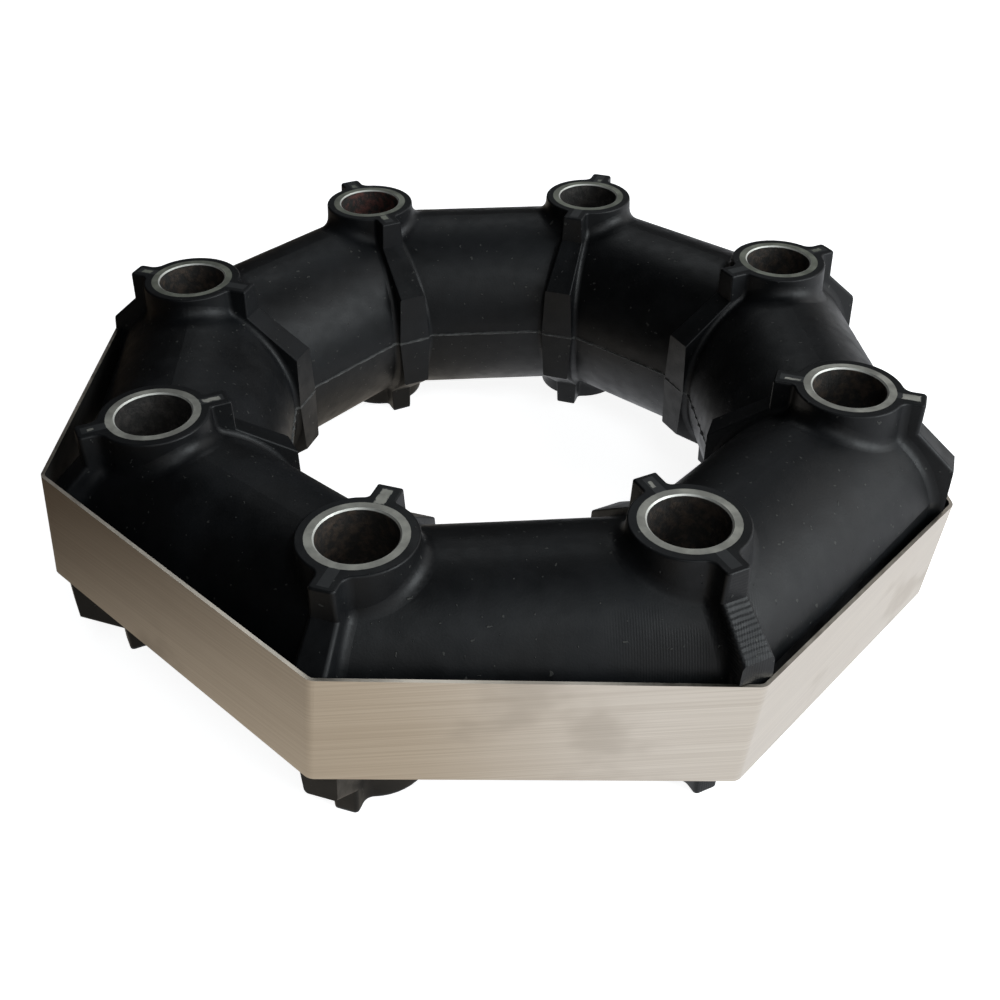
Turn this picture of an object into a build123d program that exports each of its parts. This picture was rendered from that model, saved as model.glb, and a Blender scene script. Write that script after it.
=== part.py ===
from build123d import *
from math import cos, radians, sin
import os

os.makedirs("parts", exist_ok=True)

# Flexible ring coupling: eight rubber legs moulded in one octagonal ring, a steel bush bonded in at
# each corner, and a thin steel band that holds the ring compressed.
# Frame: origin at the centre of the bolt circle on the lower end faces, +Z along the shafts' axis,
# one flat side of the octagon facing -Y.

# ---------------------------------------------------------------- driving dimensions (millimetres)

# Bolt pattern
bush_count = 8
bolt_circle = 205.0
ring_height = 76.0  # over the end faces of the bushes

# Bush: a tube with one radial fin on each side, the rubber is bonded to both
bush_bore = 20.1  # clears an M20 bolt
bush_wall = 2.55
bush_lip = 0.5  # chamfer at both ends of the bore
fin_thickness = 3.0
fin_cover = 1.4  # rubber over the fin's inner and outer edges

# Rubber leg: an ellipse, pressed flat where the band passes
leg_inset = 0.5  # how far the leg's centre lies inside the chord between two bolts
leg_half_width = 29.6
leg_flat = 1.2  # taken off the ellipse on its outer side

# Rubber collar and ears round the end of a bush
collar_height = 5.8  # end face to the top of the leg
collar_rim = 2.4  # rubber round the tube at the end face
collar_draft = 3.0  # degrees
collar_root = 4.0  # fillet between collar and leg
ear_length = 5.5  # beyond the collar
ear_width = 6.8
ear_depth = 8.8  # end face to the fold where the slant begins

# Rubber ribs that run down from the ears, inside and outside the ring
rib_width = 11.0  # at mid height, where the mould halves meet
rib_inner_reach = 36.7  # bush axis to the inner face of the rib
rib_inner_fold = 20.9  # end face to the foot of the inner slant
rib_outer_reach = 31.6  # bush axis to the outer face of the rib, where the band doesn't press it
rib_outer_fold = 18.6  # end face to the foot of the outer slant
rib_inner_root = 1.5  # fillet into the leg, inside the ring
rib_outer_root = 3.0  # fillet into the leg, outside the ring
rib_inner_edge = 0.5  # rounding of ear and slant, inside the ring
rib_outer_edge = 1.2  # rounding of ear and slant, outside the ring
rim_edge = 0.6  # rounding round the end face

# Retaining band: a folded steel strip with a lapped joint at the back
band_height = 32.4
band_thickness = 1.0
band_gap = 2.2  # flat of the leg to the band
band_seat = 0.1  # pressed edges of the ribs to the band
band_relief = 0.4  # rubber to the band's top and bottom edges
band_bend = 2.5  # inside radius of a fold
band_tilt_side = 5.2  # degrees, the band sits askew with its -X side up
band_tilt_back = 0.6  # degrees, with its +Y side down
lap_length = 28.0
weld_count = 3
weld_diameter = 4.0
weld_height = 0.3

# ------------------------------------------------------------------------------ worked-out values

bolt_radius = bolt_circle / 2
half_height = ring_height / 2
half_angle = 180 / bush_count
chord_cos = cos(radians(half_angle))
chord_sin = sin(radians(half_angle))

bush_radius = bush_bore / 2 + bush_wall
collar_radius = bush_radius + collar_rim
ear_reach = collar_radius + ear_length

leg_radius = bolt_radius * chord_cos - leg_inset
leg_half_height = half_height - collar_height
leg_outer = leg_radius + leg_half_width - leg_flat
collar_sink = leg_half_height / 4  # how far the collar's wall runs down inside the leg

band_inner = leg_outer + band_gap  # apothem of the octagon
band_outer = band_inner + band_thickness

middle = Plane.XY.offset(half_height)  # mid height, where the two mould halves meet
bolt_plane = Plane(origin=middle.origin, x_dir=(1, 0, 0), z_dir=(0, -1, 0))
rib_plane = Plane(origin=middle.origin, x_dir=(0, 1, 0), z_dir=(1, 0, 0))
chord_out = Vector(chord_cos, chord_sin, 0)
chord_along = Vector(-chord_sin, chord_cos, 0)
leg_plane = Plane(origin=middle.origin, x_dir=chord_out, z_dir=-chord_along)
corners = PolarLocations(0, bush_count, start_angle=half_angle)
band_plane = middle.rotated((-band_tilt_back, band_tilt_side, 0))


def web_outline(cover):
    """Upper half of the outline that a rib and the fin inside it share; cover is the skin left off."""
    inner = bolt_radius - rib_inner_reach + cover
    outer = bolt_radius + rib_outer_reach - cover
    inner_ear = bolt_radius - ear_reach + cover
    outer_ear = bolt_radius + ear_reach - cover
    return [
        (inner, 0),
        (inner, half_height - rib_inner_fold),
        (inner_ear, half_height - ear_depth),
        (inner_ear, half_height),
        (outer_ear, half_height),
        (outer_ear, half_height - ear_depth),
        (outer, half_height - rib_outer_fold),
        (outer, 0),
    ]


# ------------------------------------------------------------------------------------- steel bush

with BuildPart() as bush_blank:
    with BuildSketch(bolt_plane):
        with BuildLine():
            Polyline(*web_outline(fin_cover), close=True)
        make_face()
        mirror(about=Plane.XZ)
    extrude(amount=fin_thickness / 2, both=True)
    with BuildSketch(Plane.XY):
        with Locations((bolt_radius, 0)):
            Circle(bush_radius)
    extrude(amount=ring_height)

with BuildPart() as bush:
    add(bush_blank.part)
    with Locations((bolt_radius, 0)):
        Hole(bush_bore / 2)
    bore_rims = bush.edges().filter_by(lambda e: e.geom_type == GeomType.CIRCLE and e.radius < bush_radius)
    chamfer(bore_rims, bush_lip)

# ------------------------------------------------------- rubber ring, one quarter of a corner first
# The quarter runs from a bush's axis to the middle of the next leg, above mid height.

with BuildPart() as rib:
    with BuildSketch(bolt_plane):
        with BuildLine():
            Polyline(*web_outline(0), close=True)
        make_face()
    extrude(amount=-rib_width / 2)
    with BuildSketch(rib_plane):
        with BuildLine():
            Polyline((0, 0), (rib_width / 2, 0), (ear_width / 2, half_height), (0, half_height), close=True)
        make_face()
    extrude(amount=bolt_circle, mode=Mode.INTERSECT)


def off_the_cuts(edge):
    """True for an edge that lies clear of the quarter's cut faces and of its end face."""
    centre = edge.center()
    return centre.Y > rim_edge and half_height < centre.Z - rim_edge and centre.Z < ring_height - rim_edge


def long_rib_edges(edges):
    """The straight edges along a rib's ear and slant."""
    lowest = ring_height - rib_outer_fold
    edges = edges.filter_by(GeomType.LINE).filter_by(off_the_cuts)
    return edges.filter_by(lambda e: e.center().Z > lowest and ear_width / 2 < e.center().Y < rib_width / 2)


def is_inside(edge):
    """True for an edge that lies between the bolt circle and the ring's axis."""
    return edge.center().X < bolt_radius


def is_outside(edge):
    """True for an edge that lies outside the bolt circle."""
    return edge.center().X > bolt_radius


with BuildPart() as quarter:
    with BuildSketch(leg_plane):
        with Locations((leg_radius, 0)):
            Ellipse(leg_half_width, leg_half_height)
        with Locations((leg_outer, 0)):
            Rectangle(leg_half_width, ring_height, align=(Align.MIN, Align.CENTER), mode=Mode.SUBTRACT)
    extrude(amount=bolt_radius)
    with BuildSketch(Plane.XY.offset(ring_height)):
        with Locations((bolt_radius, 0)):
            Circle(collar_radius)
    extrude(amount=-(collar_height + collar_sink), taper=-collar_draft)
    split(bisect_by=Plane.XZ, keep=Keep.BOTTOM)
    split(bisect_by=middle, keep=Keep.TOP)
    collar_foot = quarter.faces().filter_by(GeomType.CONE).edges().filter_by(GeomType.BSPLINE)
    fillet(collar_foot, collar_root)

    add(rib.part)
    rib_foot = quarter.edges(Select.NEW).filter_by(off_the_cuts)
    fillet(rib_foot.filter_by(is_inside), rib_inner_root)
    fillet(rib_foot.filter_by(is_outside), rib_outer_root)
    fillet(long_rib_edges(quarter.edges()).filter_by(is_outside), rib_outer_edge)
    fillet(long_rib_edges(quarter.edges()).filter_by(is_inside), rib_inner_edge)
    end_face = quarter.faces().sort_by(Axis.Z)[-1]
    fillet(end_face.edges().filter_by(lambda e: e.center().Y > rim_edge), rim_edge)

with BuildPart() as corner:
    add(quarter.part)
    mirror(about=middle)
    mirror(about=Plane.XZ)
    add(bush_blank.part, mode=Mode.SUBTRACT)

# The room that the band takes: it presses the outer corners of the ribs back
with BuildPart() as band_room:
    with BuildSketch(band_plane):
        RegularPolygon(band_outer + rib_outer_reach, bush_count, major_radius=False, rotation=half_angle)
    extrude(amount=band_height / 2 + band_relief, both=True)
    with BuildSketch(band_plane):
        RegularPolygon(band_inner - band_seat, bush_count, major_radius=False, rotation=half_angle)
        fillet(vertices(), band_bend)
    extrude(amount=band_height / 2 + band_relief, both=True, mode=Mode.SUBTRACT)

with BuildPart() as rubber_ring:
    with corners:
        add(corner.part)
    add(band_room.part, mode=Mode.SUBTRACT)

# ---------------------------------------------------------------------------------- retaining band

lap_plane = Plane(
    origin=band_plane.from_local_coords((0, band_outer, 0)),
    x_dir=band_plane.x_dir,
    z_dir=band_plane.y_dir,
)

with BuildPart() as retaining_band:
    with BuildSketch(band_plane):
        RegularPolygon(band_outer, bush_count, major_radius=False, rotation=half_angle)
        fillet(vertices(), band_bend + band_thickness)
    extrude(amount=band_height / 2, both=True)
    with BuildSketch(band_plane):
        RegularPolygon(band_inner, bush_count, major_radius=False, rotation=half_angle)
        fillet(vertices(), band_bend)
    extrude(amount=band_height / 2, both=True, mode=Mode.SUBTRACT)
    with BuildSketch(lap_plane):
        Rectangle(lap_length, band_height)
    extrude(amount=band_thickness)
    with BuildSketch(lap_plane.offset(band_thickness)):
        with GridLocations(lap_length, band_height / weld_count, 1, weld_count):
            Circle(weld_diameter / 2)
    extrude(amount=weld_height)

# ------------------------------------------------------------------------------------------ export

for number, place in enumerate(corners, start=1):
    with BuildPart() as placed:
        with Locations(place):
            add(bush.part)
    placed.part.label = f"bush_{number}"
    export_step(placed.part, f"parts/bush_{number}.step")

rubber_ring.part.label = "rubber_ring"
export_step(rubber_ring.part, "parts/rubber_ring.step")

retaining_band.part.label = "retaining_band"
export_step(retaining_band.part, "parts/retaining_band.step")
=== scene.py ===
# %% [markdown]
# # A flexible ring coupling
#
# The part is a thick octagonal ring of black rubber. A steel bush is bonded into each of its eight
# corners, and a thin steel strap round the outside keeps the rubber compressed. The frame that is loaded
# here holds the solids of the bushes, the strap and the ring at their real size, in metres.

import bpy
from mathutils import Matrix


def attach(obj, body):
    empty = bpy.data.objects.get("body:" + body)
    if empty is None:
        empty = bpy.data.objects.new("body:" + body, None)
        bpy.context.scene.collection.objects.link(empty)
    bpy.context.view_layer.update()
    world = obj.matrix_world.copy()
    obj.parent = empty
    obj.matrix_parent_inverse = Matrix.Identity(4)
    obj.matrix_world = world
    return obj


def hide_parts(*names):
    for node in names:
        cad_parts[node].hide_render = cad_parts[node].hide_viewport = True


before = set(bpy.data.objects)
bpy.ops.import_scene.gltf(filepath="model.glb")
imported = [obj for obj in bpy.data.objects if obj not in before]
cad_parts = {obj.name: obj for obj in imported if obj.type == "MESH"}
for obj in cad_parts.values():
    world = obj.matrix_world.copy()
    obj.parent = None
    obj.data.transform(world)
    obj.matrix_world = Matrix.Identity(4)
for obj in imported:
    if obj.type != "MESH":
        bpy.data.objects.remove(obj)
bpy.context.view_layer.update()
print("nodes:", sorted(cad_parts))

# %% Sizes that the steps share
import bmesh, bpy, math
from mathutils import Vector

MM = 0.001
corner_count = 8
half_step = math.pi / corner_count
bolt_radius = 102.5 * MM
middle_height = 38.0 * MM
print("corners:", corner_count, "bolt circle radius:", bolt_radius)

# %% [markdown]
# ## Camera
#
# The ring lies flat and is seen from a little more than a third of the way up, nearly square to one of
# its sides. The camera is placed with the numbers that a tripod has: the point it looks at, the way it
# faces, its height angle and its distance.

# %% Camera
look_at = Vector((-0.2, -14.0, 22.8)) * MM
azimuth, elevation, distance = math.radians(-4.0), math.radians(37.33), 381.6 * MM
forward = Vector((-math.sin(azimuth) * math.cos(elevation), math.cos(azimuth) * math.cos(elevation),
                  -math.sin(elevation)))
camera = bpy.data.objects.new("camera", bpy.data.cameras.new("camera"))
camera.data.sensor_width = 36.0
camera.data.lens = 43.73
camera.location = look_at - forward * distance
camera.rotation_euler = forward.to_track_quat("-Z", "Y").to_euler()
bpy.context.collection.objects.link(camera)
bpy.context.scene.camera = camera
bpy.context.scene.view_settings.view_transform = "Standard"
print("camera at", tuple(round(v, 4) for v in camera.location))

# %% [markdown]
# ## Node helpers
#
# A material is a small network of nodes. A few helpers keep the networks short to read: they add a node
# and wire its inputs, do arithmetic, fade a value in or out, make a noise pattern, or mix two colours. Every
# pattern reads Object coordinates, so it stays on the part when the camera moves.

# %% Helpers for materials
def add_node(tree, kind, inputs=None, **settings):
    """One node, with its settings made and its inputs set to values or wired to sockets."""
    node = tree.nodes.new(kind)
    for name, value in settings.items():
        setattr(node, name, value)
    for key, value in (inputs or {}).items():
        if isinstance(value, bpy.types.NodeSocket):
            tree.links.new(value, node.inputs[key])
        else:
            node.inputs[key].default_value = value
    return node


def reckon(tree, operation, *values):
    """The result of one Math node."""
    return add_node(tree, "ShaderNodeMath", dict(enumerate(values)), operation=operation).outputs[0]


def ramp(tree, value, low, high, start=0.0, end=1.0):
    """start where value is low or less, end where it is high or more, smooth between."""
    node = add_node(tree, "ShaderNodeMapRange", {"Value": value, "From Min": low, "From Max": high,
                    "To Min": start, "To Max": end}, interpolation_type="SMOOTHSTEP")
    return node.outputs["Result"]


def noise(tree, place, scale, detail=3.0, roughness=0.5):
    """A noise pattern with so many features to the metre."""
    node = add_node(tree, "ShaderNodeTexNoise", {"Vector": place, "Scale": scale, "Detail": detail,
                    "Roughness": roughness})
    return node.outputs["Fac"]


def stretched(tree, place, scale):
    """The coordinates, drawn out or pressed together along each axis."""
    return add_node(tree, "ShaderNodeMapping", {"Vector": place, "Scale": scale}).outputs[0]


def blend(tree, share, first, second):
    """A colour between two others."""
    node = add_node(tree, "ShaderNodeMix", {0: share, 6: first, 7: second}, data_type="RGBA")
    return node.outputs[2]


def bumped(tree, height, depth, strength=1.0, under=None):
    """A normal from a height pattern, on top of another one if it is given."""
    inputs = {"Height": height, "Distance": depth, "Strength": strength}
    if under is not None:
        inputs["Normal"] = under
    return add_node(tree, "ShaderNodeBump", inputs).outputs[0]


def turned(tree, x, y, turn):
    """How far a point lies out along a direction in the ring's plane, and how far to its side."""
    cosine, sine = math.cos(turn), math.sin(turn)
    out = reckon(tree, "ADD", reckon(tree, "MULTIPLY", x, cosine), reckon(tree, "MULTIPLY", y, sine))
    side = reckon(tree, "SUBTRACT", reckon(tree, "MULTIPLY", y, cosine), reckon(tree, "MULTIPLY", x, sine))
    return out, side


def seen_or_mirrored(tree):
    """1 for rays from the camera and for those that a mirror or glass sends on, 0 for all other light."""
    rays = add_node(tree, "ShaderNodeLightPath").outputs
    sent_on = reckon(tree, "MAXIMUM", rays["Is Glossy Ray"], rays["Is Transmission Ray"])
    return reckon(tree, "MAXIMUM", rays["Is Camera Ray"], sent_on)


def new_finish(name):
    """A material with its shader node, its tree and its Object coordinates."""
    finish = bpy.data.materials.new(name)
    finish.use_nodes = True
    tree = finish.node_tree
    place = add_node(tree, "ShaderNodeTexCoord").outputs["Object"]
    return finish, tree, tree.nodes["Principled BSDF"], place


print("helpers ready")

# %% [markdown]
# ## Floor, room and lamps
#
# Black rubber and bare steel show their shape by what they reflect. So the part stands in a small studio:
# a large soft window on the right, weaker sheets of light above the front and the back, and dark cards on
# the left, at the back and overhead. The white behind the part is only the colour of the floor and of the
# world.

# %% Floor
def sheet(name, corners):
    """A flat four-cornered sheet that belongs to the studio and not to the part."""
    mesh = bpy.data.meshes.new(name)
    mesh.from_pydata(corners, [], [(0, 1, 2, 3)])
    made = bpy.data.objects.new(name, mesh)
    bpy.context.collection.objects.link(made)
    return made


floor_reach, floor_glow = 4, 0.9
floor = sheet("floor", [(-floor_reach, -floor_reach, 0), (floor_reach, -floor_reach, 0),
                        (floor_reach, floor_reach, 0), (-floor_reach, floor_reach, 0)])
floor_finish = bpy.data.materials.new("floor_white")
floor_finish.use_nodes = True
tree = floor_finish.node_tree
tree.nodes.clear()
matt = add_node(tree, "ShaderNodeBsdfDiffuse", {"Color": (0.8, 0.8, 0.8, 1)}).outputs[0]
strength = reckon(tree, "MULTIPLY", seen_or_mirrored(tree), floor_glow)
glow = add_node(tree, "ShaderNodeEmission", {"Strength": strength}).outputs[0]
both = add_node(tree, "ShaderNodeAddShader", {0: matt, 1: glow}).outputs[0]
add_node(tree, "ShaderNodeOutputMaterial", {"Surface": both})
floor.data.materials.append(floor_finish)
print("floor", tuple(floor.dimensions))

# %% World
world = bpy.data.worlds.new("room")
bpy.context.scene.world = world
world.use_nodes = True
tree = world.node_tree
tree.nodes.clear()
dim = add_node(tree, "ShaderNodeBackground", {"Color": (0.9, 0.95, 1.0, 1), "Strength": 0.32}).outputs[0]
white = add_node(tree, "ShaderNodeBackground", {"Color": (1, 1, 1, 1), "Strength": 1.0}).outputs[0]
mixed = add_node(tree, "ShaderNodeMixShader", {0: seen_or_mirrored(tree), 1: dim, 2: white}).outputs[0]
add_node(tree, "ShaderNodeOutputWorld", {"Surface": mixed})
print("world set")

# %% Dark cards
card_finish, tree, shader, _ = new_finish("card_dark")
shader.inputs["Base Color"].default_value = (0.035, 0.028, 0.024, 1)
shader.inputs["Roughness"].default_value = 1.0
cards = {
    "card_left": [(-1.1, -1.6, 0), (-1.1, 1.6, 0), (-1.1, 1.6, 2.0), (-1.1, -1.6, 2.0)],
    "card_back": [(-1.6, 1.5, 0), (1.3, 1.5, 0), (1.3, 1.5, 2.0), (-1.6, 1.5, 2.0)],
    "card_top": [(-1.6, -1.8, 2.0), (1.4, -1.8, 2.0), (1.4, 1.6, 2.0), (-1.6, 1.6, 2.0)],
    "card_front_left": [(-1.1, -1.5, 0), (-0.25, -1.9, 0), (-0.25, -1.9, 2.0), (-1.1, -1.5, 2.0)],
}
for name, corners in cards.items():
    card = sheet(name, corners)
    card.data.materials.append(card_finish)
    card.visible_camera = False
print("cards:", len(cards))

# %% Table top that only reflections show
# Glossy surfaces mirror the table they stand on: warm and dark on the left, pale on the right
table = sheet("table_top", [(-3, -3, 0.001), (3, -3, 0.001), (3, 3, 0.001), (-3, 3, 0.001)])
table.visible_camera = table.visible_diffuse = table.visible_shadow = False
table.visible_transmission = table.visible_volume_scatter = False
table_finish = bpy.data.materials.new("table_reflection")
table_finish.use_nodes = True
tree = table_finish.node_tree
tree.nodes.clear()
place = add_node(tree, "ShaderNodeTexCoord").outputs["Object"]
across = add_node(tree, "ShaderNodeSeparateXYZ", {0: place}).outputs[0]
left_tone = blend(tree, ramp(tree, across, -0.24, -0.03), (0.060, 0.045, 0.032, 1), (0.66, 0.60, 0.52, 1))
tone = blend(tree, ramp(tree, across, -0.04, 0.04), left_tone, (1.0, 1.02, 1.06, 1))
glow = add_node(tree, "ShaderNodeEmission", {"Color": tone}).outputs[0]
add_node(tree, "ShaderNodeOutputMaterial", {"Surface": glow})
table.data.materials.append(table_finish)
print("table top set")


# %% Lamps
def lamp(name, position, size, watts, colour):
    """A square area lamp that faces the middle of the ring."""
    data = bpy.data.lights.new(name, "AREA")
    data.size, data.energy, data.color = size, watts, colour
    made = bpy.data.objects.new(name, data)
    made.location = position
    made.rotation_euler = (Vector((0, 0, middle_height)) - made.location).to_track_quat("-Z", "Y").to_euler()
    bpy.context.collection.objects.link(made)
    print(name, "at", position, "with", watts, "W")


lamp("window", (1.1, -0.55, 0.62), 0.8, 14.0, (0.90, 0.97, 1.0))
lamp("front_sheet", (0.15, -0.95, 1.25), 0.6, 3.4, (0.90, 0.97, 1.0))
lamp("back_sheet", (0.1, 1.0, 1.2), 0.7, 2.2, (0.92, 0.97, 1.0))

# %% [markdown]
# ## Rubber
#
# The ring is moulded in polished steel halves, so it comes out black and satin, with a faint cloudiness,
# the odd speck, and rows of fine tool marks where the mould was dressed. All of that is colour,
# roughness and bump in one material. The solid already has the shape, so it keeps its mesh.

# %% Rubber finish
rubber, tree, shader, place = new_finish("moulded_rubber")
parts = add_node(tree, "ShaderNodeSeparateXYZ", {0: place})
x, y, z = parts.outputs

cloud = noise(tree, place, 28, 4.0, 0.6)
speck = ramp(tree, noise(tree, place, 620, 1.0), 0.735, 0.76)
black = blend(tree, ramp(tree, cloud, 0.35, 0.7), (0.0025, 0.0028, 0.0033, 1), (0.006, 0.0068, 0.008, 1))
off_seam = reckon(tree, "ABSOLUTE", reckon(tree, "SUBTRACT", z, middle_height))
ragged = reckon(tree, "ADD", off_seam, reckon(tree, "MULTIPLY", noise(tree, place, 320, 3.0), -0.0009))
seam = reckon(tree, "SUBTRACT", 1.0, ramp(tree, ragged, -0.0001, 0.00012))
black = blend(tree, reckon(tree, "MULTIPLY", seam, 0.8), black, (0.085, 0.086, 0.084, 1))
black = blend(tree, reckon(tree, "MULTIPLY", speck, 0.35), black, (0.11, 0.11, 0.10, 1))
tree.links.new(black, shader.inputs["Base Color"])

satin = ramp(tree, cloud, 0.3, 0.75, 0.42, 0.54)
satin = reckon(tree, "ADD", satin, ramp(tree, noise(tree, place, 210, 3.0), 0.35, 0.7, -0.03, 0.05))
tree.links.new(satin, shader.inputs["Roughness"])
print("rubber colour and gloss set")

# %% Tool marks
# Rows across the front leg, and rows round the slope of one rib, each inside its own patch
front = reckon(tree, "MULTIPLY", ramp(tree, x, 0.006, 0.034), ramp(tree, x, 0.050, 0.057, 1.0, 0.0))
front = reckon(tree, "MULTIPLY", front, ramp(tree, y, -0.100, -0.094, 1.0, 0.0))
front = reckon(tree, "MULTIPLY", front, ramp(tree, noise(tree, place, 90, 2.0), 0.36, 0.58))
front = reckon(tree, "MULTIPLY", front, ramp(tree, z, 0.062, 0.066, 1.0, 0.0))
rows = add_node(tree, "ShaderNodeTexWave", {"Vector": place, "Scale": 470.0, "Distortion": 0.5,
                "Detail": 1.0, "Detail Scale": 2.0}, bands_direction="X").outputs["Fac"]
outward, sideways = turned(tree, x, y, -3 * half_step)
off_middle = reckon(tree, "ABSOLUTE", sideways)
slope = reckon(tree, "MULTIPLY", ramp(tree, outward, 0.1225, 0.124),
               ramp(tree, outward, 0.1325, 0.134, 1.0, 0.0))
slope = reckon(tree, "MULTIPLY", slope, ramp(tree, off_middle, 0.0038, 0.0052, 1.0, 0.0))
steps = reckon(tree, "SINE", reckon(tree, "ADD", reckon(tree, "MULTIPLY", z, 6800.0),
               reckon(tree, "MULTIPLY", noise(tree, place, 150, 2.0), 5.0)))
marks = reckon(tree, "ADD", reckon(tree, "MULTIPLY", front, rows),
               reckon(tree, "MULTIPLY", slope, reckon(tree, "MULTIPLY", steps, 1.2)))

grain = noise(tree, place, 1500, 2.0, 0.6)
swell = noise(tree, place, 55, 2.0)
relief = bumped(tree, swell, 0.0011, 0.5)
relief = bumped(tree, grain, 0.00006, 0.6, relief)
relief = bumped(tree, marks, 0.000035, 0.9, relief)
relief = bumped(tree, speck, 0.0002, 0.8, relief)
tree.links.new(relief, shader.inputs["Normal"])
shader.inputs["Specular IOR Level"].default_value = 0.24
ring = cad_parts["rubber_ring"]
for slot in ring.material_slots:
    slot.material = rubber
print("rubber ring finished")

# %% [markdown]
# ## Steel bushes
#
# Every bush is a turned steel tube. Its end face is bare and dull, and the edge round its bore is bright. The
# bore is painted dark: painted shade of the deep hole, tinted with the brown and red of old bonding agent.
# Two fins reach out under the ears. Their ends lie flush with the rubber, and the mould leaves a black skin
# over most of them, which differs from bush to bush.

# %% Finish of one bush
bore_edge = (0.01008, 0.01016)  # radii, in metres, over which one look gives way to the next
lip_edge = (0.0104, 0.0107)
tube_edge = (0.0125, 0.0127)


def bush_finish(number, windows, bore_colour, face_colour):
    """A material for one bush. windows gives each bare patch on the fins: how far out and how far
    sideways its middle is, and half its length and half its width, in millimetres."""
    finish, tree, shader, place = new_finish(f"turned_steel_{number}")
    turn = (2 * number - 1) * half_step
    x, y, _ = add_node(tree, "ShaderNodeSeparateXYZ", {0: place}).outputs
    out, side = turned(tree, x, y, turn)
    out = reckon(tree, "SUBTRACT", out, bolt_radius)
    squares = reckon(tree, "ADD", reckon(tree, "MULTIPLY", out, out), reckon(tree, "MULTIPLY", side, side))
    radius = reckon(tree, "SQRT", squares)
    wander = reckon(tree, "SUBTRACT", noise(tree, place, 700, 3.0, 0.65), 0.5)
    wander = reckon(tree, "MULTIPLY", wander, 0.0014)

    def past_edge(distance, middle, half):
        """How far a point lies beyond a patch's edge along one direction; less than nothing inside it."""
        off_middle = reckon(tree, "ABSOLUTE", reckon(tree, "SUBTRACT", distance, middle * MM))
        return reckon(tree, "SUBTRACT", off_middle, half * MM)

    bare = 0.0
    for far, aside, half_length, half_width in windows:
        edge = reckon(tree, "MAXIMUM", past_edge(out, far, half_length), past_edge(side, aside, half_width))
        edge = reckon(tree, "ADD", edge, wander)
        bare = reckon(tree, "MAXIMUM", bare, ramp(tree, edge, -0.00015, 0.0001, 1.0, 0.0))
    worn_radius = reckon(tree, "ADD", radius, reckon(tree, "MULTIPLY", wander, 0.35))
    on_ring = ramp(tree, worn_radius, *tube_edge, 1.0, 0.0)
    in_bore = ramp(tree, radius, *bore_edge, 1.0, 0.0)
    steel = reckon(tree, "MAXIMUM", on_ring, bare)
    steel = reckon(tree, "MULTIPLY", steel, reckon(tree, "SUBTRACT", 1.0, in_bore))

    cloud = noise(tree, place, 160, 4.0, 0.6)
    crust = noise(tree, place, 330, 5.0, 0.7)
    dull = tuple(0.62 * c for c in face_colour)
    metal = blend(tree, ramp(tree, cloud, 0.35, 0.7), (*dull, 1), (*face_colour, 1))
    lip = ramp(tree, radius, *lip_edge, 1.0, 0.0)
    metal = blend(tree, lip, metal, (0.62, 0.62, 0.58, 1))
    skin = blend(tree, cloud, (0.008, 0.009, 0.010, 1), (0.020, 0.021, 0.022, 1))
    # The bore is painted near black as painted shade of the deep hole, tinted in patches with bonding-agent
    # colour.
    bore_stain_and_shade = blend(tree, ramp(tree, crust, 0.42, 0.66), (0.010, 0.009, 0.008, 1), (*bore_colour, 1))
    colour = blend(tree, steel, skin, metal)
    colour = blend(tree, in_bore, colour, bore_stain_and_shade)
    tree.links.new(colour, shader.inputs["Base Color"])
    tree.links.new(reckon(tree, "MULTIPLY", steel, 0.7), shader.inputs["Metallic"])
    gloss = ramp(tree, cloud, 0.3, 0.7, 0.46, 0.62)
    tree.links.new(reckon(tree, "ADD", gloss, reckon(tree, "MULTIPLY", in_bore, 0.15)), shader.inputs["Roughness"])
    rings = reckon(tree, "SINE", reckon(tree, "MULTIPLY", radius, 24000.0))
    relief = bumped(tree, reckon(tree, "MULTIPLY", rings, steel), 0.00001, 0.5)
    rough = reckon(tree, "MULTIPLY", crust, reckon(tree, "ADD", in_bore, 0.15))
    relief = bumped(tree, rough, 0.0006, 0.8, relief)
    tree.links.new(relief, shader.inputs["Normal"])
    return finish


print("bush finish defined")

# %% Dress the bushes
brown, red, grey_brown = (0.050, 0.034, 0.024), (0.090, 0.030, 0.024), (0.035, 0.030, 0.027)
pale, green = (0.50, 0.49, 0.44), (0.30, 0.31, 0.26)
bushes = {
    1: ([(15.6, 0.2, 1.6, 0.8)], brown, green),
    2: ([(14.4, -0.4, 0.9, 0.6)], grey_brown, green),
    3: ([(-14.8, 0.3, 1.7, 1.0), (15.2, 0.0, 1.2, 0.7)], red, green),
    4: ([(16.0, 0.2, 1.5, 0.9)], brown, green),
    5: ([(-15.8, 0.0, 2.3, 0.9), (16.6, 0.2, 0.8, 0.5)], grey_brown, pale),
    6: ([(-15.6, 0.0, 3.0, 1.4)], brown, pale),
    7: ([(-16.2, -0.4, 1.3, 0.45)], brown, pale),
    8: ([(16.4, 0.0, 2.4, 1.4), (-15.6, -0.6, 2.2, 0.5)], brown, pale),
}
for number, (windows, bore_colour, face_colour) in bushes.items():
    finish = bush_finish(number, windows, bore_colour, face_colour)
    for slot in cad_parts[f"bush_{number}"].material_slots:
        slot.material = finish
print("bushes dressed:", len(bushes))

# %% [markdown]
# ## Strap
#
# The strap is cold-rolled strip, folded at the eight corners and lapped at the back. It has ridden up on
# one side and sits a little twisted, lower at one rear corner than a flat hoop would be. So the solid's
# mesh is copied, its loose triangles are joined, and two corners get a small drop, shared out along the
# sides next to them.

# %% Strap mesh
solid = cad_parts["retaining_band"]
strap_mesh = solid.data.copy()
strap = bpy.data.objects.new("steel_strap", strap_mesh)
bpy.context.collection.objects.link(strap)
corner_drops = {3: -3.0 * MM, 4: -10.5 * MM}


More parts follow.
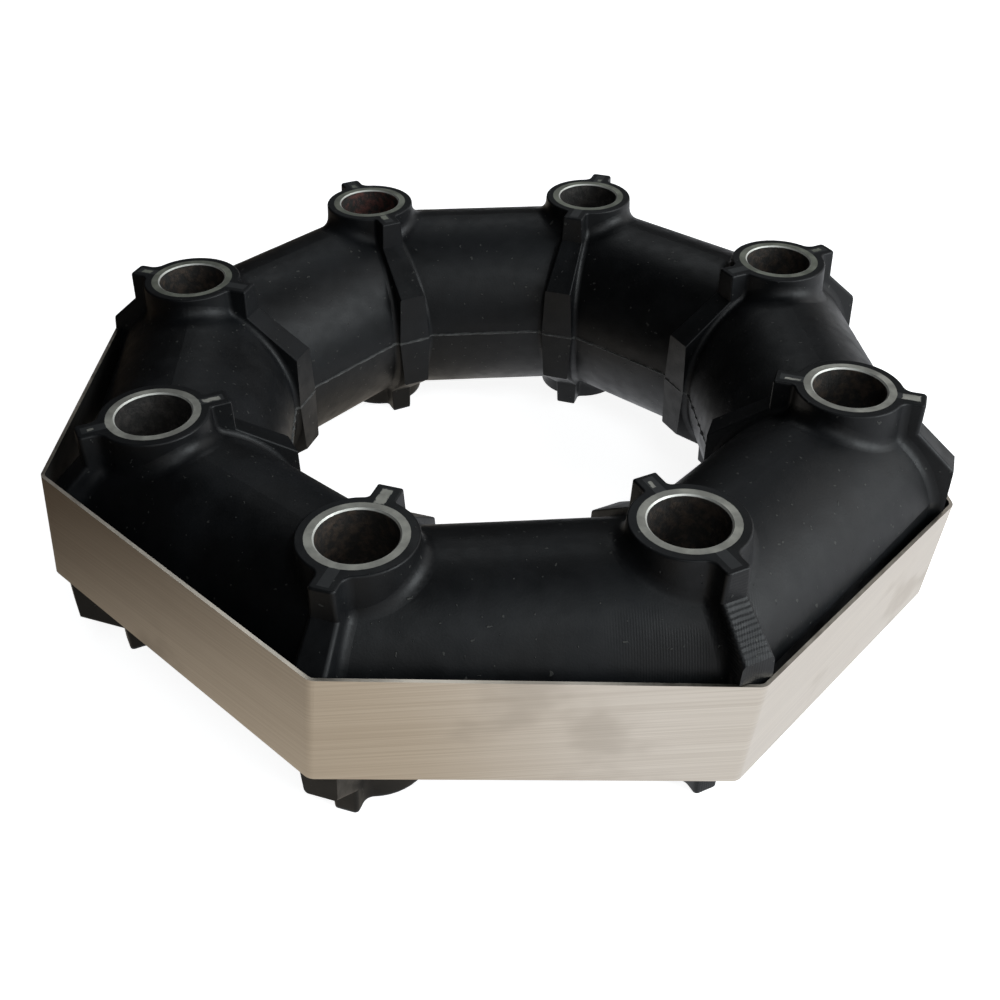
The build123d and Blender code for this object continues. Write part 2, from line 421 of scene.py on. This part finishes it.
def drop_at(px, py):
    """How far the strap is lowered at a point of its path."""
    turn = math.atan2(py, px) / (2 * half_step) - 0.5
    before = math.floor(turn)
    offset = (turn - before - 0.5) * 2 * half_step
    share = 0.5 + 0.5 * math.tan(offset) / math.tan(half_step)
    first = corner_drops.get(before % corner_count + 1, 0.0)
    second = corner_drops.get((before + 1) % corner_count + 1, 0.0)
    return first + (second - first) * share


welded = bmesh.new()
welded.from_mesh(strap_mesh)
bmesh.ops.remove_doubles(welded, verts=welded.verts, dist=0.001 * MM)
for vertex in welded.verts:
    vertex.co.z += drop_at(vertex.co.x, vertex.co.y)
welded.to_mesh(strap_mesh)
welded.free()
strap_mesh.shade_smooth()
strap_mesh.set_sharp_from_angle(angle=math.radians(30))
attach(strap, "root")
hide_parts("retaining_band")
print("strap points:", len(strap_mesh.vertices))

# %% Strap finish
strip, tree, shader, place = new_finish("rolled_strip")
normal = add_node(tree, "ShaderNodeNewGeometry").outputs["True Normal"]
parts = add_node(tree, "ShaderNodeSeparateXYZ", {0: place})
flat = add_node(tree, "ShaderNodeCombineXYZ", {0: parts.outputs[0], 1: parts.outputs[1]}).outputs[0]
facing = add_node(tree, "ShaderNodeVectorMath", {0: normal, 1: flat}, operation="DOT_PRODUCT").outputs["Value"]
# The inner face of the strap is painted near black and made almost not metallic.
inside = ramp(tree, facing, -0.06, -0.02, 1.0, 0.0)
streaks = noise(tree, stretched(tree, place, (14, 14, 2600)), 1.0, 3.0, 0.6)
hazy = noise(tree, stretched(tree, place, (1, 1, 1.6)), 26, 3.0, 0.55)
smudge = ramp(tree, hazy, 0.52, 0.66)
steel = blend(tree, ramp(tree, streaks, 0.3, 0.7), (0.53, 0.475, 0.405, 1), (0.63, 0.575, 0.50, 1))
steel = blend(tree, reckon(tree, "MULTIPLY", smudge, 0.35), steel, (0.36, 0.315, 0.265, 1))
steel = blend(tree, inside, steel, (0.022, 0.021, 0.020, 1))
tree.links.new(steel, shader.inputs["Base Color"])
tree.links.new(reckon(tree, "SUBTRACT", 1.0, reckon(tree, "MULTIPLY", inside, 0.9)), shader.inputs["Metallic"])
dulling = reckon(tree, "ADD", ramp(tree, streaks, 0.25, 0.75, 0.30, 0.40), reckon(tree, "MULTIPLY", smudge, 0.10))
tree.links.new(dulling, shader.inputs["Roughness"])
relief = bumped(tree, noise(tree, place, 34, 2.0), 0.0012, 0.35)
relief = bumped(tree, streaks, 0.00002, 0.6, relief)
tree.links.new(relief, shader.inputs["Normal"])
strap_mesh.materials.clear()
strap_mesh.materials.append(strip)
print("strap finished")

# %% [markdown]
# ## Flash on the parting line
#
# Where the two halves of the mould met, a thin ragged lip of rubber is left round the inside of the ring.
# It follows one path and varies all the way round, so Geometry Nodes make it: the path is cut into short
# steps, a thin blade is swept along it, and noise with a fixed seed makes the blade wide here and torn
# off there.

# %% Path of the parting line
def around(turn, out, aside):
    """A point at mid height, given from a corner's own radius: how far out and how far aside, in mm."""
    return ((out * math.cos(turn) - aside * math.sin(turn)) * MM,
            (out * math.sin(turn) + aside * math.cos(turn)) * MM, middle_height)


rib_side, rib_face, leg_wall = 5.4, 65.85, 67.65
path_points = []
for corner in range(corner_count):
    turn = (2 * corner + 1) * half_step
    path_points += [around(turn, leg_wall, -rib_side), around(turn, rib_face, -rib_side),
                    around(turn, rib_face, rib_side), around(turn, leg_wall, rib_side)]
path_edges = [(i, (i + 1) % len(path_points)) for i in range(len(path_points))]
flash_mesh = bpy.data.meshes.new("parting_path")
flash_mesh.from_pydata(path_points, path_edges, [])
flash_path = bpy.data.objects.new("parting_path", flash_mesh)
bpy.context.collection.objects.link(flash_path)
print("path points:", len(path_points))

# %% Flash finish
scrap, tree, shader, place = new_finish("rubber_flash")
tone = blend(tree, noise(tree, place, 400, 3.0), (0.012, 0.012, 0.013, 1), (0.16, 0.16, 0.155, 1))
tree.links.new(tone, shader.inputs["Base Color"])
shader.inputs["Roughness"].default_value = 0.55
tree.links.new(bumped(tree, noise(tree, place, 1800, 2.0), 0.00005), shader.inputs["Normal"])
print("flash finish set")

# %% Flash by Geometry Nodes
sweep = bpy.data.node_groups.new("ragged_flash", "GeometryNodeTree")
sweep.interface.new_socket("Path", in_out="INPUT", socket_type="NodeSocketGeometry")
sizes = {"Step": 0.0008, "Blade height": 0.00028, "Blade reach": 0.0013, "Raggedness": 420.0, "Seed": 7.0}
sockets = {name: sweep.interface.new_socket(name, in_out="INPUT", socket_type="NodeSocketFloat").identifier
           for name in sizes}
sweep.interface.new_socket("Flash", in_out="OUTPUT", socket_type="NodeSocketGeometry")
given = sweep.nodes.new("NodeGroupInput").outputs
curve = add_node(sweep, "GeometryNodeMeshToCurve", {0: given["Path"]}).outputs[0]
steps = add_node(sweep, "GeometryNodeResampleCurve", {"Curve": curve, "Length": given["Step"]}, mode="LENGTH")
level = add_node(sweep, "GeometryNodeSetCurveNormal", {"Curve": steps.outputs[0]}, mode="Z_UP").outputs[0]
spot = sweep.nodes.new("GeometryNodeInputPosition").outputs[0]
torn = add_node(sweep, "ShaderNodeTexNoise", {"Vector": spot, "W": given["Seed"], "Scale": given["Raggedness"],
                "Detail": 3.0}, noise_dimensions="4D").outputs[0]
width = ramp(sweep, torn, 0.38, 0.66, 0.12, 1.0)
blade = add_node(sweep, "GeometryNodeCurvePrimitiveQuadrilateral", {"Width": given["Blade reach"],
                 "Height": given["Blade height"]}).outputs[0]
swept = add_node(sweep, "GeometryNodeCurveToMesh", {"Curve": level, "Profile Curve": blade,
                 "Scale": width}).outputs[0]
real = add_node(sweep, "GeometryNodeRealizeInstances", {0: swept}).outputs[0]
dressed = add_node(sweep, "GeometryNodeSetMaterial", {"Geometry": real, "Material": scrap}).outputs[0]
add_node(sweep, "NodeGroupOutput", {0: dressed})

modifier = flash_path.modifiers.new("flash", "NODES")
modifier.node_group = sweep
for name, value in sizes.items():
    modifier[sockets[name]] = value
evaluated = flash_path.evaluated_get(bpy.context.evaluated_depsgraph_get())
flash = bpy.data.objects.new("parting_flash", bpy.data.meshes.new_from_object(evaluated))
bpy.data.objects.remove(flash_path)
bpy.context.collection.objects.link(flash)
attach(flash, "root")
print("flash faces:", len(flash.data.polygons))
